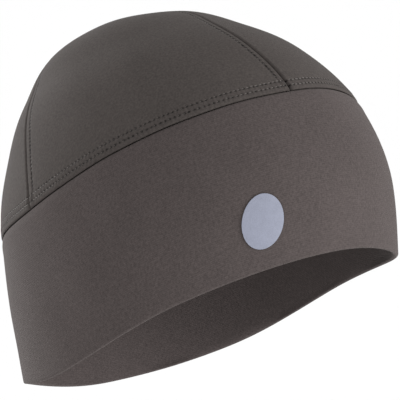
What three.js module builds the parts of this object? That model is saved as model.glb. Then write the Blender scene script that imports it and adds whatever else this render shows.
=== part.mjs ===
// Helmet liner cap: a wide double headband and a crown of four gores, all thin stretch cloth.
// Millimetres, +Z up, as it is worn: the front faces -Y and the wearer's left is +X.
// The origin is the point inside the crown that rests on the top of the head.
import * as THREE from 'three';

// Driving sizes
const capHeight = 146.5; // from the plane of the rim to the crossing of the seams
const capWidth = 168;
const capLength = 196;
const wearPitch = 30; // degrees that the front of the rim is raised when worn
const bandHeight = 66.5; // from the plane of the rim to the band seam, at the sides
const bandRise = 4.5; // the band seam runs this much higher in front and lower behind
const rimWave = 6.5; // most that the stretched rim rises or falls
const bandWall = 2.4; // two layers, folded over at the rim
const crownWall = 1.4; // one layer of brushed knit
const seamGap = 0.3; // clearance between two pieces along a seam
const seamDip = 1.1; // how deep a seam pulls the cloth in
const seamDipReach = 2.6; // distance from the seam at which most of the dip is gone
const sideSeamSweep = 30; // degrees that each side seam sweeps back on its way to the top
const sideSeamBend = 1.6; // over 1, most of that sweep comes near the top
const markWidth = 18;
const markHeight = 22;
const markThickness = 0.3;
const markClearance = 0.3;
const markAboveRim = 20; // from the rim up to the middle of the mark
const markFromFront = 31.5; // from the middle of the front round to the middle of the mark

// Sections from the rim to the top, as shares of the sizes above:
// height of capHeight, width and length of half of capWidth and capLength,
// lean forward of half of capLength.
const sections = [
  { height: 0, width: 0.99, length: 0.975, lean: -0.056 },
  { height: 0.24, width: 1, length: 1, lean: 0.05 },
  { height: 0.48, width: 0.953, length: 0.925, lean: 0.082 },
  { height: 0.675, width: 0.81, length: 0.766, lean: 0.065 },
  { height: 0.815, width: 0.632, length: 0.592, lean: 0.02 },
  { height: 0.938, width: 0.405, length: 0.367, lean: -0.045 },
  { height: 1, width: 0, length: 0, lean: -0.107 },
];

// Lift of the rim at eight directions, as shares of rimWave, from the front round by the left.
const rimLifts = [
  { at: 'front', lift: 0.77 },
  { at: 'front left', lift: 0.38 },
  { at: 'left', lift: 1 },
  { at: 'back left', lift: -0.08 },
  { at: 'back', lift: -0.08 },
  { at: 'back right', lift: 0.54 },
  { at: 'right', lift: -0.69 },
  { at: 'front right', lift: 0.38 },
];

// Colours of the cloth and of the mark
const bandCloth = new THREE.MeshStandardMaterial({ color: 0x54504d, roughness: 0.95, metalness: 0 });
const crownCloth = new THREE.MeshStandardMaterial({ color: 0x57514b, roughness: 0.95, metalness: 0 });
const markFilm = new THREE.MeshStandardMaterial({ color: 0xa4a8b6, roughness: 0.45, metalness: 0.3 });

// Smooth curve through four neighbouring values
function blend(before, from, to, after, share) {
  const slope = to - before;
  const curve = 2 * before - 5 * from + 4 * to - after;
  const bend = 3 * from - before - 3 * to + after;
  return 0.5 * (2 * from + slope * share + curve * share ** 2 + bend * share ** 3);
}

const lastSection = sections.length - 1;

// The section that continues the table past either end, mirrored through the top
function sectionAt(index) {
  if (index < 0) {
    const first = sections[0];
    const second = sections[1];
    return {
      height: 2 * first.height - second.height,
      width: 2 * first.width - second.width,
      length: 2 * first.length - second.length,
      lean: 2 * first.lean - second.lean,
    };
  }
  if (index > lastSection) {
    const mirrored = sections[2 * lastSection - index];
    return { height: mirrored.height, width: -mirrored.width, length: -mirrored.length, lean: mirrored.lean };
  }
  return sections[index];
}

// One column of the table at a level, where level 0 is the rim and lastSection is the top
function column(name, level) {
  const index = Math.min(Math.max(Math.floor(level), 0), lastSection - 1);
  const near = [-1, 0, 1, 2].map((step) => sectionAt(index + step)[name]);
  return blend(near[0], near[1], near[2], near[3], level - index);
}

function rimLift(direction) {
  const count = rimLifts.length;
  const turn = (((direction / (2 * Math.PI)) * count) % count + count) % count;
  const index = Math.floor(turn);
  const near = [-1, 0, 1, 2].map((step) => rimLifts[(index + step + count) % count].lift);
  return rimWave * blend(near[0], near[1], near[2], near[3], turn - index);
}

// Outer surface before the seams pull it in. Direction 0 is the front, a quarter turn is the left.
function smoothPoint(level, direction) {
  const fade = (1 - level / lastSection) ** 2;
  return new THREE.Vector3(
    (capWidth / 2) * column('width', level) * Math.sin(direction),
    -(capLength / 2) * (column('length', level) * Math.cos(direction) + column('lean', level)),
    capHeight * column('height', level) + fade * rimLift(direction),
  );
}

function outwardNormal(level, direction) {
  const step = 0.002;
  const safeLevel = Math.min(level, lastSection - 0.02);
  const along = smoothPoint(safeLevel, direction + step).sub(smoothPoint(safeLevel, direction - step));
  const up = smoothPoint(safeLevel + step, direction).sub(smoothPoint(safeLevel - step, direction));
  const normal = along.cross(up).normalize();
  if (level > safeLevel) {
    const rim = lastSection - level;
    const share = rim / (lastSection - safeLevel);
    normal.multiplyScalar(share).add(new THREE.Vector3(0, 0, 1 - share)).normalize();
  }
  return normal;
}

// Level of the band seam at a direction, found by halving
function bandSeamLevel(direction) {
  const wanted = (bandHeight + bandRise * Math.cos(direction)) / capHeight;
  let low = 0;
  let high = lastSection - 1;
  for (let step = 0; step < 40; step += 1) {
    const middle = (low + high) / 2;
    if (column('height', middle) < wanted) {
      low = middle;
    } else {
      high = middle;
    }
  }
  return (low + high) / 2;
}

// Millimetres along the cloth, straight up, from the rim or seam to another level
function lengthUp(fromLevel, toLevel, direction) {
  const steps = 8;
  let length = 0;
  let last = smoothPoint(fromLevel, direction);
  for (let step = 1; step <= steps; step += 1) {
    const next = smoothPoint(fromLevel + ((toLevel - fromLevel) * step) / steps, direction);
    length += next.distanceTo(last);
    last = next;
  }
  return Math.sign(toLevel - fromLevel) * length;
}

// Level that lies a given length above another one
function levelAbove(fromLevel, length, direction) {
  let level = fromLevel;
  for (let step = 0; step < 4; step += 1) {
    const rate = smoothPoint(level + 0.01, direction).distanceTo(smoothPoint(level - 0.01, direction)) / 0.02;
    level += (length - lengthUp(fromLevel, level, direction)) / rate;
  }
  return level;
}

// Direction of the side seam at a level, on the left; the right one mirrors it
function sideSeam(level) {
  const start = bandSeamLevel(Math.PI / 2);
  const share = Math.max(0, (level - start) / (lastSection - start));
  return Math.PI / 2 + THREE.MathUtils.degToRad(sideSeamSweep) * share ** sideSeamBend;
}

function dip(distance) {
  return seamDip * Math.exp(-((distance / seamDipReach) ** 2));
}

// Outer surface, moved out by a given height and pulled in along the seams
function clothPoint(level, direction, raise) {
  const point = smoothPoint(level, direction);
  const normal = outwardNormal(level, direction);
  const seamLevel = bandSeamLevel(direction);
  let pull = dip(lengthUp(seamLevel, level, direction));
  if (level > seamLevel) {
    const seams = [0, sideSeam(level), Math.PI, -sideSeam(level)];
    const nearest = Math.min(...seams.map((seam) => point.distanceTo(smoothPoint(level, seam))));
    pull = Math.max(pull, dip(nearest));
  }
  return point.addScaledVector(normal, raise - pull);
}

// One closed mesh from points and faces
function solid(name, points, faces, material) {
  const geometry = new THREE.BufferGeometry();
  const positions = points.flatMap((point) => [point.x, point.y, point.z]);
  geometry.setAttribute('position', new THREE.Float32BufferAttribute(positions, 3));
  geometry.setIndex(faces.flat());
  geometry.computeVertexNormals();
  const mesh = new THREE.Mesh(geometry, material);
  mesh.name = name;
  return mesh;
}

// The band: a loop of cloth round the head whose section is folded over at the rim
function makeBand() {
  const columns = 80;
  const rows = 9;
  const foldSteps = 4;
  const section = (direction) => {
    const top = levelAbove(bandSeamLevel(direction), -seamGap / 2, direction);
    const bottom = levelAbove(0, bandWall / 2, direction);
    const levels = [];
    for (let row = 0; row < rows; row += 1) {
      const share = row / (rows - 1);
      levels.push(bottom + (top - bottom) * (1 - (1 - share) ** 1.6));
    }
    const outside = levels.map((level) => clothPoint(level, direction, 0));
    const inside = levels.map((level) => clothPoint(level, direction, -bandWall)).reverse();
    const fold = [];
    const down = smoothPoint(0, direction).sub(smoothPoint(0.05, direction)).normalize();
    const out = outwardNormal(bottom, direction);
    const centre = outside[0].clone().addScaledVector(out, -bandWall / 2);
    for (let step = 1; step < foldSteps; step += 1) {
      const angle = -Math.PI / 2 + (Math.PI * step) / foldSteps;
      const point = centre.clone();
      point.addScaledVector(out, (bandWall / 2) * Math.sin(angle));
      point.addScaledVector(down, (bandWall / 2) * Math.cos(angle));
      fold.push(point);
    }
    return [...outside, ...inside, ...fold];
  };
  const points = [];
  const faces = [];
  let count = 0;
  for (let index = 0; index < columns; index += 1) {
    const loop = section((2 * Math.PI * index) / columns);
    count = loop.length;
    points.push(...loop);
  }
  for (let index = 0; index < columns; index += 1) {
    const here = index * count;
    const next = ((index + 1) % columns) * count;
    for (let step = 0; step < count; step += 1) {
      const after = (step + 1) % count;
      faces.push([here + step, next + step, next + after]);
      faces.push([here + step, next + after, here + after]);
    }
  }
  return solid('headband', points, faces, bandCloth);
}

// One gore of the crown, between the middle seam and a side seam.
// side is 1 on the left and -1 on the right; end is 1 in front and -1 behind.
function makeGore(name, side, end) {
  const across = [0, 0.012, 0.03, 0.06, 0.12, 0.2, 0.3, 0.4, 0.5, 0.6, 0.7, 0.8, 0.88, 0.94, 0.97, 0.988, 1];
  const upward = [0, 0.012, 0.028, 0.055, 0.1, 0.16, 0.23, 0.3, 0.38, 0.46, 0.54, 0.62, 0.7, 0.78, 0.85, 0.91, 0.96];
  const directionAt = (share, level) => {
    const middle = end > 0 ? 0 : Math.PI;
    return side * (middle + (sideSeam(level) - middle) * share);
  };
  const grid = (raise) => upward.map((height) => across.map((share) => {
    const start = directionAt(share, bandSeamLevel(Math.PI / 2));
    const bottom = levelAbove(bandSeamLevel(start), seamGap / 2, start);
    const level = bottom + (lastSection - bottom) * height;
    return clothPoint(level, directionAt(share, level), raise);
  }));
  const points = [];
  const faces = [];
  const addLayer = (raise) => {
    const first = points.length;
    grid(raise).forEach((row) => points.push(...row));
    points.push(clothPoint(lastSection, side * end * 0.01, raise));
    return first;
  };
  const outer = addLayer(0);
  const inner = addLayer(-crownWall);
  const width = across.length;
  const height = upward.length;
  const tip = width * height;
  const flipped = side * end < 0;
  const addFace = (a, b, c) => faces.push(flipped ? [a, c, b] : [a, b, c]);
  for (let row = 0; row < height - 1; row += 1) {
    for (let col = 0; col < width - 1; col += 1) {
      const a = row * width + col;
      const b = a + 1;
      const c = b + width;
      const d = a + width;
      addFace(outer + a, outer + b, outer + c);
      addFace(outer + a, outer + c, outer + d);
      addFace(inner + a, inner + c, inner + b);
      addFace(inner + a, inner + d, inner + c);
    }
  }
  for (let col = 0; col < width - 1; col += 1) {
    const a = (height - 1) * width + col;
    addFace(outer + a, outer + a + 1, outer + tip);
    addFace(inner + a, inner + tip, inner + a + 1);
    addFace(outer + col, inner + col, inner + col + 1);
    addFace(outer + col, inner + col + 1, outer + col + 1);
  }
  const addEdge = (lower, upper, reversed) => {
    const [p, q] = reversed ? [upper, lower] : [lower, upper];
    addFace(outer + p, outer + q, inner + q);
    addFace(outer + p, inner + q, inner + p);
  };
  for (let row = 0; row < height; row += 1) {
    const lowLeft = row * width;
    const highLeft = row === height - 1 ? tip : lowLeft + width;
    const lowRight = lowLeft + width - 1;
    const highRight = row === height - 1 ? tip : lowRight + width;
    addEdge(lowLeft, highLeft, false);
    addEdge(lowRight, highRight, true);
  }
  const shift = new THREE.Vector3(side * seamGap / 2, -end * seamGap / 2, 0);
  points.forEach((point) => point.add(shift));
  return solid(name, points, faces, crownCloth);
}

// The reflective mark: a thin oval of film that follows the band beside the middle of the front
function makeMark() {
  const rings = [0, 0.3, 0.6, 0.85, 1];
  const spokes = 56;
  const rightOfFront = -1;
  const levelOf = (direction, above) => levelAbove(0, above, direction);
  const directionOf = (length) => {
    let direction = 0;
    for (let step = 0; step < 6; step += 1) {
      const level = levelOf(direction, markAboveRim);
      const quarter = 12;
      let reached = 0;
      for (let piece = 0; piece < quarter; piece += 1) {
        const from = smoothPoint(level, (direction * piece) / quarter);
        const to = smoothPoint(level, (direction * (piece + 1)) / quarter);
        reached += from.distanceTo(to);
      }
      direction += (length * rightOfFront - Math.sign(direction) * reached) / (capLength / 2);
    }
    return direction;
  };
  const centreDirection = directionOf(markFromFront);
  const centreLevel = levelOf(centreDirection, markAboveRim);
  const perRadian = smoothPoint(centreLevel, centreDirection + 0.01)
    .distanceTo(smoothPoint(centreLevel, centreDirection - 0.01)) / 0.02;
  const points = [];
  const faces = [];
  const addLayer = (raise) => {
    const first = points.length;
    rings.forEach((ring) => {
      const count = ring === 0 ? 1 : spokes;
      for (let spoke = 0; spoke < count; spoke += 1) {
        const angle = (2 * Math.PI * spoke) / spokes;
        const direction = centreDirection + (Math.cos(angle) * ring * markWidth) / 2 / perRadian;
        const level = levelOf(direction, markAboveRim + (Math.sin(angle) * ring * markHeight) / 2);
        points.push(clothPoint(level, direction, raise));
      }
    });
    return first;
  };
  const outer = addLayer(markClearance + markThickness);
  const inner = addLayer(markClearance);
  for (let spoke = 0; spoke < spokes; spoke += 1) {
    const next = (spoke + 1) % spokes;
    faces.push([outer, outer + 1 + spoke, outer + 1 + next]);
    faces.push([inner, inner + 1 + next, inner + 1 + spoke]);
    for (let ring = 1; ring < rings.length - 1; ring += 1) {
      const near = 1 + (ring - 1) * spokes;
      const far = near + spokes;
      faces.push([outer + near + spoke, outer + far + spoke, outer + far + next]);
      faces.push([outer + near + spoke, outer + far + next, outer + near + next]);
      faces.push([inner + near + spoke, inner + far + next, inner + far + spoke]);
      faces.push([inner + near + spoke, inner + near + next, inner + far + next]);
    }
    const edge = 1 + (rings.length - 2) * spokes;
    faces.push([outer + edge + spoke, inner + edge + spoke, inner + edge + next]);
    faces.push([outer + edge + spoke, inner + edge + next, outer + edge + next]);
  }
  return solid('reflective_mark', points, faces, markFilm);
}

// The cap is pitched as worn, then moved so that the inside of its top is the origin
const cap = new THREE.Group();
cap.add(makeBand());
cap.add(makeGore('crown_front_right', -1, 1));
cap.add(makeGore('crown_front_left', 1, 1));
cap.add(makeGore('crown_back_right', -1, -1));
cap.add(makeGore('crown_back_left', 1, -1));
cap.add(makeMark());
cap.rotation.x = -THREE.MathUtils.degToRad(wearPitch);
cap.updateMatrix();

const topSteps = 400;
let top = null;
for (let step = 0; step <= topSteps; step += 1) {
  const level = lastSection - 2 + (2 * step) / topSteps;
  const point = clothPoint(level, 0, -crownWall).applyMatrix4(cap.matrix);
  if (top === null || point.z > top.z) {
    top = point;
  }
}
cap.position.copy(top).negate();

const root = new THREE.Group();
root.add(cap);

export default root;
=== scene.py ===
import math

import bpy
import numpy as np
from mathutils import Matrix, Vector


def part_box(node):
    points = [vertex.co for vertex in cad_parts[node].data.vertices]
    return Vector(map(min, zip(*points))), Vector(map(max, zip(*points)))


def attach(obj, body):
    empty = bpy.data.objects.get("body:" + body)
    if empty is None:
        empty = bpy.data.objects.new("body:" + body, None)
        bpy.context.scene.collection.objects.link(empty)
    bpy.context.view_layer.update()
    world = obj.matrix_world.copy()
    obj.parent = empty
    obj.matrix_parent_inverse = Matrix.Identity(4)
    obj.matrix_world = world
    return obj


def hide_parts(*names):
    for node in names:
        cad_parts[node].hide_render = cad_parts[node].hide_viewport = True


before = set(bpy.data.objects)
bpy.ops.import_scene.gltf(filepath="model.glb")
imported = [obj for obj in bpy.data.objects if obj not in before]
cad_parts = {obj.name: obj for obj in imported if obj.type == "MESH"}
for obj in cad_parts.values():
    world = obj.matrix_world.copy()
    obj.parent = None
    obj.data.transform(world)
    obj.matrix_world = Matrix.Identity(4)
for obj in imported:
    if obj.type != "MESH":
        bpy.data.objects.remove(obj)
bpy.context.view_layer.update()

# Headband: one wide band of fine stretch jersey, doubled by a fold that makes the rim.
# It is knitted round, so it has no closing seam, and both its raw edges are sewn into the band seam.
# Like all the cloth it takes its form from the head, so that form comes first.
MM = 0.001
CAP_HEIGHT, CAP_WIDTH, CAP_LENGTH = 146.5, 168.0, 196.0
WEAR_PITCH = math.radians(30)
RIM_WAVE = 6.5
RIM_LIFTS = (0.77, 0.38, 1, -0.08, -0.08, 0.54, -0.69, 0.38)  # from the front round by the left
TOP = 6.0  # the level of the crossing of the seams, where level 0 is the rim
SECTIONS = {
    "height": (0, 0.24, 0.48, 0.675, 0.815, 0.938, 1),
    "width": (0.99, 1, 0.953, 0.81, 0.632, 0.405, 0),
    "length": (0.975, 1, 0.925, 0.766, 0.592, 0.367, 0),
    "lean": (-0.056, 0.05, 0.082, 0.065, 0.02, -0.045, -0.107),
}
MIRRORED_PAST_TOP = {"height": 1, "width": -1, "length": -1, "lean": 1}
CROWN_WALL, SEAM_DIP = 1.4, 1.1
BAND_HEIGHT, BAND_RISE = 66.5, 4.5
BAND_LAYER, BAND_WALL = 1.1, 2.4
SEAM_GAP = 0.3
BAND_GREY = (0.0550, 0.0452, 0.0438)


def blend(before, start, end, after, share):
    """A smooth curve from start to end that heads for the values before and after them."""
    slope = end - before
    curve = 2 * before - 5 * start + 4 * end - after
    bend = 3 * start - before - 3 * end + after
    return 0.5 * (2 * start + slope * share + curve * share**2 + bend * share**3)


def section(name, level):
    """A measure of the cap at a level, as a share of the size that it follows."""
    values = SECTIONS[name]
    padded = np.array([2 * values[0] - values[1], *values, MIRRORED_PAST_TOP[name] * values[-2]])
    index = np.clip(np.floor(level).astype(int), 0, len(values) - 2)
    near = [padded[index + step] for step in range(4)]
    return blend(*near, level - index)


def rim_lift(direction):
    lifts = np.array(RIM_LIFTS)
    turn = direction / (2 * math.pi) * len(lifts) % len(lifts)
    index = np.floor(turn).astype(int)
    near = [lifts[(index + step) % len(lifts)] for step in (-1, 0, 1, 2)]
    return RIM_WAVE * blend(*near, turn - index)


def smooth_point(level, direction):
    """A point in mm on the worn form. Direction 0 is the front, and a quarter turn is the left."""
    fade = (1 - level / TOP) ** 2
    return np.stack([
        CAP_WIDTH / 2 * section("width", level) * np.sin(direction),
        -CAP_LENGTH / 2 * (section("length", level) * np.cos(direction) + section("lean", level)),
        CAP_HEIGHT * section("height", level) + fade * rim_lift(direction),
    ], axis=-1)


def outward(level, direction):
    """The way out of the worn form, which is straight up at the crossing of the seams."""
    step = 0.002
    near_top = 10 * step
    safe = np.minimum(level, TOP - near_top)
    along = smooth_point(safe, direction + step) - smooth_point(safe, direction - step)
    up = smooth_point(safe + step, direction) - smooth_point(safe - step, direction)
    normal = np.cross(along, up)
    normal /= np.linalg.norm(normal, axis=-1, keepdims=True)
    share = np.clip((TOP - level) / near_top, 0, 1)[..., None]
    normal = normal * share + np.array([0, 0, 1.0]) * (1 - share)
    return normal / np.linalg.norm(normal, axis=-1, keepdims=True)


def arc_lengths(points):
    steps = np.linalg.norm(np.diff(points, axis=0), axis=-1)
    return np.concatenate([[0], np.cumsum(steps)])


# The worn cap is pitched, and the inside of its top is the origin
PITCH = np.array([
    [1, 0, 0],
    [0, math.cos(WEAR_PITCH), math.sin(WEAR_PITCH)],
    [0, -math.sin(WEAR_PITCH), math.cos(WEAR_PITCH)],
])
levels_over_top = np.linspace(TOP - 2, TOP, 401)
straight_ahead = np.zeros_like(levels_over_top)
inside_top = smooth_point(levels_over_top, straight_ahead)
inside_top = inside_top - (CROWN_WALL + SEAM_DIP) * outward(levels_over_top, straight_ahead)
inside_top = inside_top @ PITCH.T
HEAD_SEAT = inside_top[inside_top[:, 2].argmax()]


def to_frame(points):
    return (points @ PITCH.T - HEAD_SEAT) * MM


def band_seam_level(direction):
    levels = np.linspace(0, TOP - 1, 2001)
    wanted = (BAND_HEIGHT + BAND_RISE * np.cos(direction)) / CAP_HEIGHT
    return np.interp(wanted, section("height", levels), levels)


def up_the_form(direction):
    """Levels from the rim to the top, their lengths in mm, and the length to the band seam."""
    levels = np.linspace(0, TOP, 601)
    reach = arc_lengths(smooth_point(levels, np.full_like(levels, direction)))
    return levels, reach, np.interp(band_seam_level(direction), levels, reach)


def levels_along(direction, lengths):
    """Levels at lengths in mm above the band seam, below it where they are negative."""
    levels, reach, seam = up_the_form(direction)
    return np.interp(seam + lengths, reach, levels)


def hump(distance, height, place, spread):
    return height * np.exp(-(((distance - place) / spread) ** 2))


def turned_edge(distance, radius):
    """How far an edge of cloth that turns down into its seam lies below the form."""
    share = np.clip(1 - np.abs(distance) / radius, 0, 1)
    return radius * (1 - np.sqrt(1 - share**2))


# Slow waves of cloth that isn't pulled quite evenly, up to 0.4 mm high and gone beside the mark
MARK_CLEAR, MARK_FADE = 14, 12
mark_low, mark_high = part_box("reflective_mark")
MARK_PLACE = (np.array(mark_low) + np.array(mark_high)) / 2


def easing(points):
    x, y, z = points[..., 0], points[..., 1], points[..., 2]
    waves = 0.16 * np.sin(x / 9 + z / 15 + 1.0) + 0.15 * np.sin(y / 11 - z / 8 + 2.2)
    waves += 0.12 * np.sin((x - y) / 7 + z / 21 + 0.6)
    away = np.linalg.norm(to_frame(points) - MARK_PLACE, axis=-1) / MM
    return waves * np.clip((away - MARK_CLEAR) / MARK_FADE, 0, 1)


def cloth_sheet(name, points):
    """A grid primitive whose corners are moved on to rows of points."""
    rows, columns = points.shape[:2]
    bpy.ops.object.select_all(action="DESELECT")
    bpy.ops.mesh.primitive_grid_add(x_subdivisions=columns - 1, y_subdivisions=rows - 1, size=1)
    sheet = bpy.context.object
    sheet.name = name
    sheet.data.name = name
    sheet.data.vertices.foreach_set("co", to_frame(points).reshape(-1))
    sheet.data.update()
    return sheet


def add_map(sheet, name, across, up):
    """A UV map in mm along and across a seam, for the stitches and the knit."""
    corners = np.zeros(len(sheet.data.loops), dtype=np.int32)
    sheet.data.loops.foreach_get("vertex_index", corners)
    layer = sheet.data.uv_layers.get(name) or sheet.data.uv_layers.new(name=name)
    values = np.stack([across.reshape(-1), up.reshape(-1)], axis=-1)[corners]
    layer.uv.foreach_set("vector", values.astype(np.float32).reshape(-1))


def finish_cloth(sheet, wall, merge_ends):
    """The outer face gets its wall, inwards, once a ring of cloth is joined at its ends."""
    bpy.ops.object.mode_set(mode="EDIT")
    bpy.ops.mesh.select_all(action="SELECT")
    if merge_ends:
        bpy.ops.mesh.remove_doubles(threshold=0.02 * MM)
    bpy.ops.mesh.normals_make_consistent(inside=False)
    bpy.ops.object.mode_set(mode="OBJECT")
    thickness = sheet.modifiers.new("wall", "SOLIDIFY")
    thickness.thickness = wall * MM
    thickness.offset = -1
    bpy.ops.object.modifier_apply(modifier=thickness.name)
    bpy.ops.object.shade_smooth()


# Rows of corners lie close together below the seam, in mm, and then at parts of the band's height
BAND_EDGE_ROWS = [SEAM_GAP / 2, 0.22, 0.32, 0.45, 0.62, 0.85, 1.15, 1.5, 2, 2.7, 3.5, 4.5]
BAND_PARTS = 60
BAND_PLAIN_ROWS = np.concatenate([[6, 8, 10.5, 13.5, 17], np.linspace(21, BAND_PARTS, 15)])
BAND_COLUMNS = 420
FOLD_POINTS = 7
BAND_EDGE_TURN = 1.3
BAND_DIP, BAND_SWELL = (0.15, 0, 3), (0.2, -4, 2)  # height, place above the seam and spread, in mm
INNER_DIP = (0.9, 0, 2)
fold = BAND_WALL / 2
fold_angles = np.linspace(0, math.pi, FOLD_POINTS + 2)[1:-1]
rim, just_above_rim = np.array([0.0]), np.array([0.05])  # levels
directions = np.linspace(0, 2 * math.pi, BAND_COLUMNS + 1)
round_the_band = arc_lengths(smooth_point(np.full_like(directions, 1.0), directions))
band_points = []
band_heights = []
for direction in directions:
    whole = up_the_form(direction)[2]
    plain_rows = BAND_PLAIN_ROWS * (whole - fold) / BAND_PARTS
    lengths = -np.concatenate([BAND_EDGE_ROWS, plain_rows])
    here = levels_along(direction, lengths)
    facing = np.full_like(here, direction)
    base = smooth_point(here, facing)
    out = outward(here, facing)
    pull = turned_edge(lengths, BAND_EDGE_TURN) + hump(lengths, *BAND_DIP) - hump(lengths, *BAND_SWELL)
    outer_face = base + out * (easing(base) - pull)[:, None]
    inner_face = base - out * (BAND_WALL + hump(lengths, *INNER_DIP))[:, None]
    down = smooth_point(rim, facing[:1]) - smooth_point(just_above_rim, facing[:1])
    down = down[0] / np.linalg.norm(down)
    centre = outer_face[-1] - out[-1] * fold
    turned = [
        centre + fold * (out[-1] * math.cos(angle) + down * math.sin(angle))
        for angle in fold_angles
    ]
    column = np.concatenate([outer_face, turned, inner_face[::-1]])
    band_points.append(column)
    band_heights.append(-arc_lengths(column))
band_points = np.array(band_points).transpose(1, 0, 2)
band_heights = np.array(band_heights).T
headband = cloth_sheet("headband_cloth", band_points)
add_map(headband, "knit_mm", round_the_band + 0 * band_heights, band_heights)
finish_cloth(headband, BAND_LAYER, merge_ends=True)


def node(tree, kind, inputs=(), **settings):
    """A node with its settings, and a number or a link in each input that is given."""
    made = tree.nodes.new(kind)
    for key, value in settings.items():
        setattr(made, key, value)
    for place, value in dict(inputs).items():
        if isinstance(value, bpy.types.NodeSocket):
            tree.links.new(value, made.inputs[place])
        else:
            made.inputs[place].default_value = value
    return made.outputs[0]


def maths(tree, operation, first, second=0.0, third=0.0):
    return node(tree, "ShaderNodeMath", {0: first, 1: second, 2: third}, operation=operation)


def split(tree, vector):
    parts = tree.nodes.new("ShaderNodeSeparateXYZ")
    tree.links.new(vector, parts.inputs[0])
    return parts.outputs[0], parts.outputs[1]


def mottle(tree, scale, detail):
    """Noise from 0 to 1 that stays in its place on the cap."""
    place = tree.nodes.new("ShaderNodeTexCoord").outputs["Object"]
    return node(tree, "ShaderNodeTexNoise", {"Vector": place, "Scale": scale, "Detail": detail})


def soft_spot(tree, away, aside=0.0):
    """1 where both distances are 0, and nearly 0 where either is over 2."""
    squares = maths(tree, "MULTIPLY", away, away)
    squares = maths(tree, "ADD", squares, maths(tree, "MULTIPLY", aside, aside))
    return maths(tree, "POWER", math.e, maths(tree, "MULTIPLY", squares, -1.0))


def new_finish(name, roughness):
    material = bpy.data.materials.new(name)
    material.use_nodes = True
    shader = material.node_tree.nodes["Principled BSDF"]
    shader.inputs["Roughness"].default_value = roughness
    return material, material.node_tree, shader


def tint(tree, shader, grey, tone):
    colour = node(tree, "ShaderNodeVectorMath", {0: grey, "Scale": tone}, operation="SCALE")
    tree.links.new(colour, shader.inputs["Base Color"])


def knit_loops(tree, across, up, wale, course):
    """Height of fine knit, from 0 to 1: columns of small V shaped loops."""
    row_share, rib_share = 0.6, 0.4
    zigzag = maths(tree, "PINGPONG", across, wale / 2)
    lean = maths(tree, "MULTIPLY_ADD", zigzag, 0.5, up)
    turn = maths(tree, "MULTIPLY", lean, 2 * math.pi / course)
    rows = maths(tree, "MULTIPLY_ADD", maths(tree, "SINE", turn), 0.5, 0.5)
    ribs = maths(tree, "SINE", maths(tree, "MULTIPLY", zigzag, 2 * math.pi / wale))
    return maths(tree, "MULTIPLY_ADD", rows, row_share, maths(tree, "MULTIPLY", ribs, rib_share))


# The fineness of the melange yarn's flecks and of wider clouds, how much they and the loops
# change the tone, and how many mm the loops and flecks stand up
FLECK_SCALE, CLOUD_SCALE = 1100, 45
EVEN_TONE, FLECK_TONE, CLOUD_TONE, LOOP_TONE = 0.33, 1.0, 0.2, 0.2
LOOP_RELIEF, FLECK_RELIEF = 0.06, 0.08
CLOTH_ROUGHNESS, CLOTH_GLOSS = 0.92, 0.12
FUZZ_ROUGHNESS, FUZZ_COLOUR = 0.45, (1.0, 0.95, 0.9, 1)


def cloth_material(name, grey, wale, course, fuzz, seams=None):
    """Matt stretch knit: melange colour, loops in relief and a soft pale fuzz at grazing angles.
    seams gives the painted shade of the sewing, a factor from 1 down that darkens the colour, and the
    relief in mm that sewing adds."""
    material, tree, shader = new_finish(name, CLOTH_ROUGHNESS)
    across, up = split(tree, node(tree, "ShaderNodeUVMap", uv_map="knit_mm"))
    loops = knit_loops(tree, across, up, wale, course)
    flecks = mottle(tree, FLECK_SCALE, 3)
    clouds = mottle(tree, CLOUD_SCALE, 4)
    tone = maths(tree, "MULTIPLY_ADD", flecks, FLECK_TONE, EVEN_TONE)
    tone = maths(tree, "MULTIPLY_ADD", clouds, CLOUD_TONE, tone)
    tone = maths(tree, "MULTIPLY_ADD", loops, LOOP_TONE, tone)
    relief = maths(tree, "MULTIPLY", loops, LOOP_RELIEF)
    relief = maths(tree, "MULTIPLY_ADD", flecks, FLECK_RELIEF, relief)
    if seams:
        # the sewing's painted shade, with painted light on the puckers, darkens and lightens the cloth's
        # colour
        shade, raised = seams(tree)
        tone = maths(tree, "MULTIPLY", tone, shade)
        relief = maths(tree, "ADD", relief, raised)
    tint(tree, shader, grey, tone)
    bump = node(tree, "ShaderNodeBump", {"Height": relief, "Strength": 1.0, "Distance": MM})
    tree.links.new(bump, shader.inputs["Normal"])
    shader.inputs["Specular IOR Level"].default_value = CLOTH_GLOSS
    shader.inputs["Sheen Weight"].default_value = fuzz
    shader.inputs["Sheen Roughness"].default_value = FUZZ_ROUGHNESS
    shader.inputs["Sheen Tint"].default_value = FUZZ_COLOUR
    return material


band_material = cloth_material("stretch_jersey", BAND_GREY, wale=0.62, course=0.84, fuzz=0.04)
headband.data.materials.append(band_material)
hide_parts("headband")
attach(headband, "root")


# Crown: four gores of brushed stretch knit, sewn in a cross from front to back and ear to ear.
# Their lower edges are sewn to the band, and a twin needle seam holds the allowance flat above it.
# One row beside each seam of the crown holds that seam's allowance to one side.
SIDE_SWEEP, SIDE_BEND = math.radians(30), 1.6
FRONT_DRIFT, DRIFT_LEVEL, DRIFT_SPREAD = math.radians(8), 4.8, 0.7
STITCH_PITCH = 2.1
BAND_STITCH_ROWS = (2.6, 5.4)  # mm above the band seam
GORE_STITCH_ROWS = {"front": 3.0, "back": 3.0, "left": 4.2, "right": 4.2}  # mm beside each seam
GORE_STITCH_START, GORE_STITCH_STOP = 8.5, 5  # mm above the band seam and short of the top
CROWN_GREY = (0.0490, 0.0420, 0.0392)
seam_start = float(band_seam_level(np.array(math.pi / 2)))

# Length round the band seam, so that the stitches and the puckers keep step
seam_round = np.linspace(-math.pi, math.pi, 1441)
seam_round_mm = arc_lengths(smooth_point(band_seam_level(seam_round), seam_round))
stitch_count = round(seam_round_mm[-1] / STITCH_PITCH)
seam_pitch = seam_round_mm[-1] / stitch_count


def side_seam(level):
    share = np.clip((level - seam_start) / (TOP - seam_start), 0, 1)
    return math.pi / 2 + SIDE_SWEEP * share**SIDE_BEND


def back_seam(level):
    return np.full_like(level, math.pi)


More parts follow.
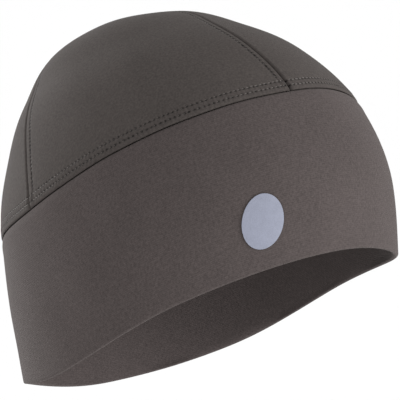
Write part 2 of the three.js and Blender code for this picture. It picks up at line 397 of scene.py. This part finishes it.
def front_seam(level):
    """The front seam drifts to the wearer's left near the top, where the cloth isn't pulled straight."""
    return hump(np.minimum(level, DRIFT_LEVEL), FRONT_DRIFT, DRIFT_LEVEL, DRIFT_SPREAD)


# Each seam's way round as a level goes up, and the side on which its stitched allowance lies
CROWN_SEAMS = {
    "front": (front_seam, -1),
    "back": (back_seam, -1),
    "left": (side_seam, -1),
    "right": (lambda level: -side_seam(level), 1),
}


def up_a_seam(name):
    """Levels and ways round of a seam of the crown, and its length in mm from the band seam."""
    way = CROWN_SEAMS[name][0]
    below_seam = 0.4
    levels = np.linspace(seam_start - below_seam, TOP, 801)
    levels = levels[levels >= band_seam_level(way(levels))]
    return levels, way(levels), arc_lengths(smooth_point(levels, way(levels)))


# What the sewing does to the form, as heights, places and spreads in mm: the edges turn down,
# the cloth swells over each allowance, and each row of stitches lies in a groove with small puckers
CROWN_EDGE_TURN, GORE_EDGE_TURN = 1.1, 1.5
BAND_SEAM_SWELL, GORE_SEAM_SWELL = (0.36, 3.9, 2.3), (0.38, 1.9, 1.1)
BAND_GROOVE_DEPTH, BAND_GROOVE_SPREAD = 0.16, 0.5
GORE_GROOVE = (0.3, 0, 0.6)
PUCKER_HEIGHT, PUCKER_START, PUCKER_STOP, PUCKER_FADE = 0.03, 1, 8.4, 2.4
LEFT_AT_CROSSING = 0.4  # the share of the band seam's form where a seam of the crown meets it
ROW_END_FADE = 3.0  # how much faster a row's groove fades past its ends than beside it
FLATTEST_SLOPE = 0.05
OUT_OF_REACH = 99.0


def seam_pulls(level, direction, stitched):
    """How far the sewing pulls the cloth in, in mm, and the maps that the material reads."""
    base = smooth_point(level, direction)
    normal = outward(level, direction)
    height = (section("height", level) - section("height", band_seam_level(direction))) * CAP_HEIGHT
    slope = np.sqrt(np.clip(1 - normal[..., 2] ** 2, FLATTEST_SLOPE, 1))
    up = np.clip(height / slope, 0, None)
    across = np.interp(direction, seam_round, seam_round_mm)
    pull = turned_edge(up, CROWN_EDGE_TURN) - hump(up, *BAND_SEAM_SWELL)
    for row in BAND_STITCH_ROWS:
        pull += hump(up, BAND_GROOVE_DEPTH, row, BAND_GROOVE_SPREAD)
    zone = np.clip(up - PUCKER_START, 0, 1) * np.clip((PUCKER_STOP - up) / PUCKER_FADE, 0, 1)
    pull += PUCKER_HEIGHT * zone * np.cos(2 * math.pi * across / seam_pitch)
    nearest = np.full_like(level, OUT_OF_REACH)
    beside = np.full_like(level, OUT_OF_REACH)
    aside = np.full_like(level, OUT_OF_REACH)
    along = np.zeros_like(level)
    for name, (way, _) in CROWN_SEAMS.items():
        distance = np.linalg.norm(base - smooth_point(level, way(level)), axis=-1)
        nearest = np.minimum(nearest, distance)
        if name in stitched:
            seam_levels, _, seam_mm = up_a_seam(name)
            along = np.where(distance < beside, np.interp(level, seam_levels, seam_mm), along)
            past_last = np.clip(along - (seam_mm[-1] - GORE_STITCH_STOP), 0, None)
            row_aside = np.abs(distance - GORE_STITCH_ROWS[name]) + ROW_END_FADE * past_last
            aside = np.where(distance < beside, row_aside, aside)
            beside = np.minimum(beside, distance)
    ridge = hump(beside, *GORE_SEAM_SWELL) - hump(aside, *GORE_GROOVE)
    crossing = LEFT_AT_CROSSING * pull + turned_edge(nearest, GORE_EDGE_TURN) - ridge
    pull = np.maximum(pull, crossing)
    return pull, across, up, along, aside


def crown_point(level, direction, stitched, raise_mm=0.0):
    pull = seam_pulls(level, direction, stitched)[0]
    base = smooth_point(level, direction)
    return base + outward(level, direction) * (raise_mm + easing(base) - pull)[..., None]


# Needle holes: their radius, the width of a groove and of the puckers, in mm, how much painted shade
# each puts on the cloth (painted light and shade on the puckers' ridges), how many mm it sinks, and how
# the holes wander and differ
HOLE_RADIUS, GROOVE_WIDTH, PUCKER_WIDTH = 0.42, 0.5, 1.1
HOLE_PAINTED_SHADE, HOLE_SINK = 0.8, 0.2
PUCKER_PAINTED_LIGHT_AND_SHADE, PUCKER_SINK = 0.08, 0.09
GORE_GROOVE_PAINTED_SHADE, BAND_GROOVE_PAINTED_SHADE = 0.45, 0.16
HOLE_WANDER, HOLE_LEAST, HOLE_RANGE = 1.2, 0.2, 1.6
HOLE_MOTTLE = 330


def needle_row(tree, along, aside, pitch, groove):
    """Painted shade and relief of one row of needle holes: uneven dark spots of painted shade in the
    holes, painted shade along a soft groove, and painted light and shade across the puckers.
    """
    uneven = mottle(tree, HOLE_MOTTLE, 1)
    turn = maths(tree, "DIVIDE", maths(tree, "MULTIPLY_ADD", uneven, HOLE_WANDER, along), pitch)
    from_hole = maths(tree, "MULTIPLY", maths(tree, "PINGPONG", turn, 0.5), 2 * pitch)
    hole = soft_spot(tree, from_hole, maths(tree, "DIVIDE", aside, HOLE_RADIUS))
    strength = maths(tree, "MULTIPLY_ADD", uneven, HOLE_RANGE, HOLE_LEAST)
    hole = maths(tree, "MULTIPLY", hole, strength)
    line = soft_spot(tree, maths(tree, "DIVIDE", aside, GROOVE_WIDTH))
    wave = maths(tree, "COSINE", maths(tree, "MULTIPLY", turn, 2 * math.pi))
    near = soft_spot(tree, maths(tree, "DIVIDE", aside, PUCKER_WIDTH))
    pucker = maths(tree, "MULTIPLY", wave, near)
    # painted shade in the holes, painted light and shade on the puckers, painted shade along the groove
    shade = maths(tree, "MULTIPLY_ADD", hole, -HOLE_PAINTED_SHADE, 1.0)
    shade = maths(tree, "MULTIPLY_ADD", pucker, -PUCKER_PAINTED_LIGHT_AND_SHADE, shade)
    shade = maths(tree, "MULTIPLY", shade, maths(tree, "MULTIPLY_ADD", line, -groove, 1.0))
    raised = maths(tree, "MULTIPLY", hole, -HOLE_SINK)
    return shade, maths(tree, "MULTIPLY_ADD", pucker, -PUCKER_SINK, raised)


def crown_seams(tree):
    """The twin row above the band seam and the single row beside a seam of the crown, as painted shade
    and relief.
    """
    round_mm, up_mm = split(tree, node(tree, "ShaderNodeUVMap", uv_map="band_seam_mm"))
    along_mm, aside = split(tree, node(tree, "ShaderNodeUVMap", uv_map="crown_seam_mm"))
    along_mm = maths(tree, "SUBTRACT", along_mm, GORE_STITCH_START - STITCH_PITCH / 2)
    below_start = maths(tree, "MAXIMUM", maths(tree, "MULTIPLY", along_mm, -ROW_END_FADE), 0.0)
    aside = maths(tree, "ADD", maths(tree, "ABSOLUTE", aside), below_start)
    shade, raised = needle_row(tree, along_mm, aside, STITCH_PITCH, GORE_GROOVE_PAINTED_SHADE)
    for row in BAND_STITCH_ROWS:
        row_aside = maths(tree, "SUBTRACT", up_mm, row)
        row_painted_shade, row_raised = needle_row(tree, round_mm, row_aside, seam_pitch, BAND_GROOVE_PAINTED_SHADE)
        # each row's painted shade darkens the crown cloth's colour further
        shade = maths(tree, "MULTIPLY", shade, row_painted_shade)
        raised = maths(tree, "ADD", raised, row_raised)
    return shade, raised


crown_material = cloth_material("brushed_knit", CROWN_GREY, 0.55, 0.62, 0.015, crown_seams)

# Corners lie close together beside the seams and further apart over the plain cloth, all in mm
above_seam = np.concatenate([
    [SEAM_GAP / 2, 0.22, 0.32, 0.45, 0.62, 0.85, 1.1, 1.4, 1.8, 2.1, 2.35, 2.6, 2.85, 3.2, 3.6],
    [4.0, 4.4, 4.8, 5.15, 5.4, 5.65, 6.0, 6.5, 7.2, 8.2, 9.6, 11.4, 13.6],
])
rest_of_gore = np.linspace(0, 1, 46)[1:] ** 0.96  # a little closer together near the top
beside_seam = np.array(
    [0, 0.08, 0.18, 0.3, 0.46, 0.66, 0.9, 1.2, 1.5, 1.8, 2.1, 2.4, 2.6, 2.8, 3.0, 3.3, 3.7, 4.2, 4.8]
)
PLAIN_START, PLAIN_STEP = 5.4, 0.54
SHORT_OF_TOP = 0.012  # in levels, so that the grid has no faces without area

# Each gore's side, its end, the seams whose stitches it carries, its flat size and flat area in m
GORES = {
    "crown_front_right": (-1, 1, ("front", "right"), (0.134, 0.13), 0.0110),
    "crown_front_left": (1, 1, ("left",), (0.134, 0.13), 0.0103),
    "crown_back_right": (-1, -1, (), (0.124, 0.118), 0.0088),
    "crown_back_left": (1, -1, ("back",), (0.124, 0.118), 0.0088),
}
for gore_name, (side, end, stitched, flat_size, flat_area) in GORES.items():
    middle_seam = front_seam if end > 0 else back_seam
    start = middle_seam(seam_start)
    quarter = np.linspace(start, side_seam(seam_start), 400)
    width = arc_lengths(smooth_point(np.full_like(quarter, seam_start), quarter))[-1]
    plain_width = width - 2 * PLAIN_START
    plain = np.linspace(PLAIN_START, width - PLAIN_START, round(plain_width / PLAIN_STEP))
    share = np.concatenate([beside_seam, plain, width - beside_seam[::-1]]) / width
    columns = []
    for way in side * (start + (side_seam(seam_start) - start) * share):
        _, reach, seam = up_the_form(way)
        rest = above_seam[-1] + (reach[-1] - seam - above_seam[-1]) * rest_of_gore
        columns.append(levels_along(way, np.concatenate([above_seam, rest])))
    level = np.minimum(np.array(columns).T, TOP - SHORT_OF_TOP)
    middle = middle_seam(level) if end < 0 else side * middle_seam(level)
    direction = side * (middle + (side_seam(level) - middle) * share[None, :])
    points = crown_point(level, direction, stitched)
    _, round_mm, up_mm, along_mm, aside_mm = seam_pulls(level, direction, stitched)
    knit_across = np.array([arc_lengths(row) for row in points])
    knit_across -= knit_across[:, -1:] / 2
    knit_up = arc_lengths(points[:, points.shape[1] // 2])[:, None] + 0 * knit_across
    points = points + np.array([side * SEAM_GAP / 2, -end * SEAM_GAP / 2, 0])
    gore = cloth_sheet(f"{gore_name}_cloth", points)
    add_map(gore, "knit_mm", knit_across, knit_up)
    add_map(gore, "band_seam_mm", round_mm, up_mm)
    add_map(gore, "crown_seam_mm", along_mm, aside_mm)
    finish_cloth(gore, CROWN_WALL - 0.1, merge_ends=False)
    gore.data.materials.append(crown_material)
    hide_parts(gore_name)
    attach(gore, "root")


# Stitches: spun thread in a paler tone than the cloth, a twin row above the band seam
# and one row beside each seam of the crown. Each stitch lies in the cloth between two needle holes.
THREAD_RADIUS, STITCH_LENGTH = 0.21, 1.55
STITCH_BLUNTNESS = 0.7  # 1 is a plain ellipsoid, and less has blunter ends
SHORTEST, LONGEST = 0.8, 1.15  # shares of the stitch length
STITCH_STRAY, STITCH_LIFT = 0.09, 0.02  # mm off its row and above the cloth
THREAD_GREY = (0.094, 0.083, 0.075)
THREAD_TONE, THREAD_MOTTLE, THREAD_SCALE = 0.5, 0.9, 900


def stitch_row(name, places, ways, outs):
    """One stitch is shaped once, and its copies are laid along the row and joined."""
    bpy.ops.object.select_all(action="DESELECT")
    bpy.ops.mesh.primitive_uv_sphere_add(segments=8, ring_count=6, radius=1)
    stitch = bpy.context.object
    for corner in stitch.data.vertices:
        corner.co.z = math.copysign(abs(corner.co.z) ** STITCH_BLUNTNESS, corner.co.z)
    bpy.ops.transform.resize(value=np.array([THREAD_RADIUS, THREAD_RADIUS, STITCH_LENGTH / 2]) * MM)
    bpy.ops.object.transform_apply(scale=True)
    bpy.ops.object.shade_smooth()
    along = ways / np.linalg.norm(ways, axis=-1, keepdims=True)
    across = np.cross(outs, along)
    by_hand = np.random.default_rng(len(places))
    lengths = by_hand.uniform(SHORTEST, LONGEST, len(places))
    places = places + across * by_hand.normal(0, STITCH_STRAY, (len(places), 1)) * MM
    for place, side, out, way in zip(places, across, outs, along * lengths[:, None]):
        laid = Matrix(np.stack([side, out, way], axis=-1).tolist()).to_4x4()
        laid.translation = place
        copied = bpy.data.objects.new(name, stitch.data.copy())
        copied.data.transform(laid)
        bpy.context.collection.objects.link(copied)
        copied.select_set(True)
        bpy.context.view_layer.objects.active = copied
    bpy.data.objects.remove(stitch)
    bpy.ops.object.join()
    row = bpy.context.object
    row.name = name
    row.data.name = name
    return row


thread_material, thread_tree, thread_shader = new_finish("spun_thread", 0.6)
twist = mottle(thread_tree, THREAD_SCALE, 1)
thread_tone = maths(thread_tree, "MULTIPLY_ADD", twist, THREAD_MOTTLE, THREAD_TONE)
tint(thread_tree, thread_shader, THREAD_GREY, thread_tone)


def add_stitches(name, levels, ways, stitched):
    """Stitches at the given levels and ways round, each along the line that they make."""
    points = crown_point(levels, ways, stitched)
    ahead = np.roll(points, -1, axis=0) - np.roll(points, 1, axis=0)
    ahead[0] = points[1] - points[0]
    ahead[-1] = points[-1] - points[-2]
    normal = outward(levels, ways)
    places = to_frame(points + normal * STITCH_LIFT)
    row = stitch_row(name, places, ahead @ PITCH.T, normal @ PITCH.T)
    row.data.materials.append(thread_material)
    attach(row, "root")


stitch_rounds = (np.arange(stitch_count) + 0.5) * seam_pitch
stitch_ways = np.interp(stitch_rounds, seam_round_mm, seam_round)
for number, above in enumerate(BAND_STITCH_ROWS, start=1):
    row_levels = np.array([levels_along(way, np.array([above]))[0] for way in stitch_ways])
    add_stitches(f"band_seam_stitches_{number}", row_levels, stitch_ways, ())
for seam_name, (way, side) in CROWN_SEAMS.items():
    levels, ways, lengths = up_a_seam(seam_name)
    places = np.arange(GORE_STITCH_START, lengths[-1] - GORE_STITCH_STOP, STITCH_PITCH)
    row_levels = np.interp(places, lengths, levels)
    row_ways = way(row_levels)
    small_turn = 0.01
    here = smooth_point(row_levels, row_ways)
    beyond = smooth_point(row_levels, row_ways + small_turn)
    mm_per_turn = np.linalg.norm(beyond - here, axis=-1) / small_turn
    row_ways = row_ways + side * GORE_STITCH_ROWS[seam_name] / mm_per_turn
    add_stitches(f"{seam_name}_seam_stitches", row_levels, row_ways, (seam_name,))


# Seam allowances: inside the crown the trimmed raw edges lie flat under each row of stitches.
# They are strips of the same two cloths, overlocked together, and close the seams from within.
ALLOWANCE_WALL = 0.9
ALLOWANCE_STOP = {"front": 0.02, "back": 0.02, "left": 1.0, "right": 1.0}  # mm short of the top
ALLOWANCE_START, ALLOWANCE_POINTS = 0.5, 90
BAND_ALLOWANCE_ROWS = np.array([-0.08, 0.4, 0.8, 1.4, 2.6, 4.0, 5.4, 6.6])  # mm above the band seam
GORE_ALLOWANCE_ROWS = (-0.5, 0, 0.4, 0.9, 1.6, 2.8)  # mm beside a seam of the crown
PAST_STITCHES = 1.2
HEAD_RADIUS = 80
NO_STITCHES = 50  # mm from any row of stitches, which leaves a strip plain


def allowance(name, points):
    strip = cloth_sheet(name, points)
    across = np.array([arc_lengths(row) for row in points])
    up = np.array([arc_lengths(column) for column in points.transpose(1, 0, 2)]).T
    add_map(strip, "knit_mm", across, up)
    add_map(strip, "band_seam_mm", across, up + NO_STITCHES)
    add_map(strip, "crown_seam_mm", across, up + NO_STITCHES)
    finish_cloth(strip, ALLOWANCE_WALL, merge_ends=name.startswith("band"))
    strip.data.materials.append(crown_material)
    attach(strip, "root")


ways_round = np.linspace(-math.pi, math.pi, 301)
strip_levels = np.array([levels_along(way, BAND_ALLOWANCE_ROWS) for way in ways_round]).T
strip_ways = ways_round + 0 * strip_levels
allowance("band_seam_allowance", crown_point(strip_levels, strip_ways, (), raise_mm=-CROWN_WALL))

for seam_name, (way, side) in CROWN_SEAMS.items():
    levels, ways, lengths = up_a_seam(seam_name)
    last = lengths[-1] - ALLOWANCE_STOP[seam_name]
    row_levels = np.interp(np.linspace(ALLOWANCE_START, last, ALLOWANCE_POINTS), lengths, levels)
    row_ways = way(row_levels)
    line = smooth_point(row_levels, row_ways)
    normal = outward(row_levels, row_ways)
    aside = np.cross(normal, np.gradient(line, axis=0))
    aside *= -side / np.linalg.norm(aside, axis=-1, keepdims=True)
    rows = []
    for reach in (*GORE_ALLOWANCE_ROWS, GORE_STITCH_ROWS[seam_name] + PAST_STITCHES):
        curve = reach**2 / (2 * HEAD_RADIUS)
        depth = CROWN_WALL + turned_edge(np.array(reach), CROWN_EDGE_TURN) + curve - easing(line)
        rows.append(line + aside * reach - normal * depth[:, None])
    allowance(f"{seam_name}_seam_allowance", np.array(rows))


# Reflective mark: a small oval of silver transfer film, pressed on the band with heat.
# It keeps the solid's own mesh and gets the fine beaded grain and slight wear of such film.
FILM_GREY = (0.18, 0.192, 0.245)
FILM_TONE, BEAD_TONE, WEAR_TONE = 0.7, 0.35, 0.25
BEAD_SCALE, WEAR_SCALE = 2600, 260
BEAD_HEIGHT = 0.1 * MM
mark = bpy.data.objects["reflective_mark"]
film, film_tree, film_shader = new_finish("reflective_film", 0.6)
film_beads = mottle(film_tree, BEAD_SCALE, 2)
film_wear = mottle(film_tree, WEAR_SCALE, 4)
film_tone = maths(film_tree, "MULTIPLY_ADD", film_beads, BEAD_TONE, FILM_TONE)
film_tone = maths(film_tree, "MULTIPLY_ADD", film_wear, WEAR_TONE, film_tone)
tint(film_tree, film_shader, FILM_GREY, film_tone)
film_relief = {"Height": film_beads, "Strength": 0.3, "Distance": BEAD_HEIGHT}
film_bump = node(film_tree, "ShaderNodeBump", film_relief)
film_tree.links.new(film_bump, film_shader.inputs["Normal"])
film_shader.inputs["Metallic"].default_value = 0.1
mark.data.materials.clear()
mark.data.materials.append(film)


# Studio: a pale floor well below the held cap, soft light from behind on both sides,
# a weak light from below in front that reaches into the hollow, and an even pale room.
CAMERA_AZIMUTH, CAMERA_ELEVATION = math.radians(-37.51), math.radians(13.47)
CAMERA_DISTANCE, CAMERA_LENS = 0.8423, 168.2
CAMERA_AIM = np.array([0.0093, -0.0048, -0.0826])
SOFTBOX_SIZE, SOFTBOX_DISTANCE = 1.1, 1.6
FLOOR_SIZE, FLOOR_LEVEL = 60, -2.2
FLOOR_PAINT = (0.95, 0.95, 0.95, 1)
ROOM_LIGHT = 1.05

# Degrees round from the camera and up from level, and power in watts
SOFTBOXES = {
    "left_softbox": (-130, 8, 27),
    "right_softbox": (74, 6, 28),
    "low_softbox": (0, -40, 7),
}


def round_the_cap(azimuth, elevation, distance):
    back = np.array([
        math.sin(azimuth) * math.cos(elevation),
        -math.cos(azimuth) * math.cos(elevation),
        math.sin(elevation),
    ])
    return CAMERA_AIM + back * distance


def look_at_cap(thing):
    ahead = Vector(CAMERA_AIM - np.array(thing.location))
    thing.rotation_euler = ahead.to_track_quat("-Z", "Y").to_euler()


camera_data = bpy.data.cameras.new("camera")
camera_data.lens = CAMERA_LENS
camera_data.sensor_width = 36
camera_data.clip_start = 0.01
camera = bpy.data.objects.new("camera", camera_data)
camera.location = round_the_cap(CAMERA_AZIMUTH, CAMERA_ELEVATION, CAMERA_DISTANCE)
look_at_cap(camera)
bpy.context.collection.objects.link(camera)
bpy.context.scene.camera = camera

for light_name, (turn, elevation, power) in SOFTBOXES.items():
    light = bpy.data.lights.new(light_name, "AREA")
    light.shape = "SQUARE"
    light.size = SOFTBOX_SIZE
    light.energy = power
    softbox = bpy.data.objects.new(light_name, light)
    azimuth = CAMERA_AZIMUTH + math.radians(turn)
    softbox.location = round_the_cap(azimuth, math.radians(elevation), SOFTBOX_DISTANCE)
    look_at_cap(softbox)
    bpy.context.collection.objects.link(softbox)

bpy.ops.object.select_all(action="DESELECT")
bpy.ops.mesh.primitive_plane_add(size=FLOOR_SIZE, location=(0, 0, FLOOR_LEVEL))
floor = bpy.context.object
floor.name = "floor"
floor_material, _, floor_shader = new_finish("pale_floor", 0.9)
floor_shader.inputs["Base Color"].default_value = FLOOR_PAINT
floor.data.materials.append(floor_material)

world = bpy.data.worlds.new("soft_room")
world.use_nodes = True
world.node_tree.nodes["Background"].inputs["Color"].default_value = (1, 1, 1, 1)
world.node_tree.nodes["Background"].inputs["Strength"].default_value = ROOM_LIGHT
bpy.context.scene.world = world
bpy.context.scene.view_settings.view_transform = "Standard"
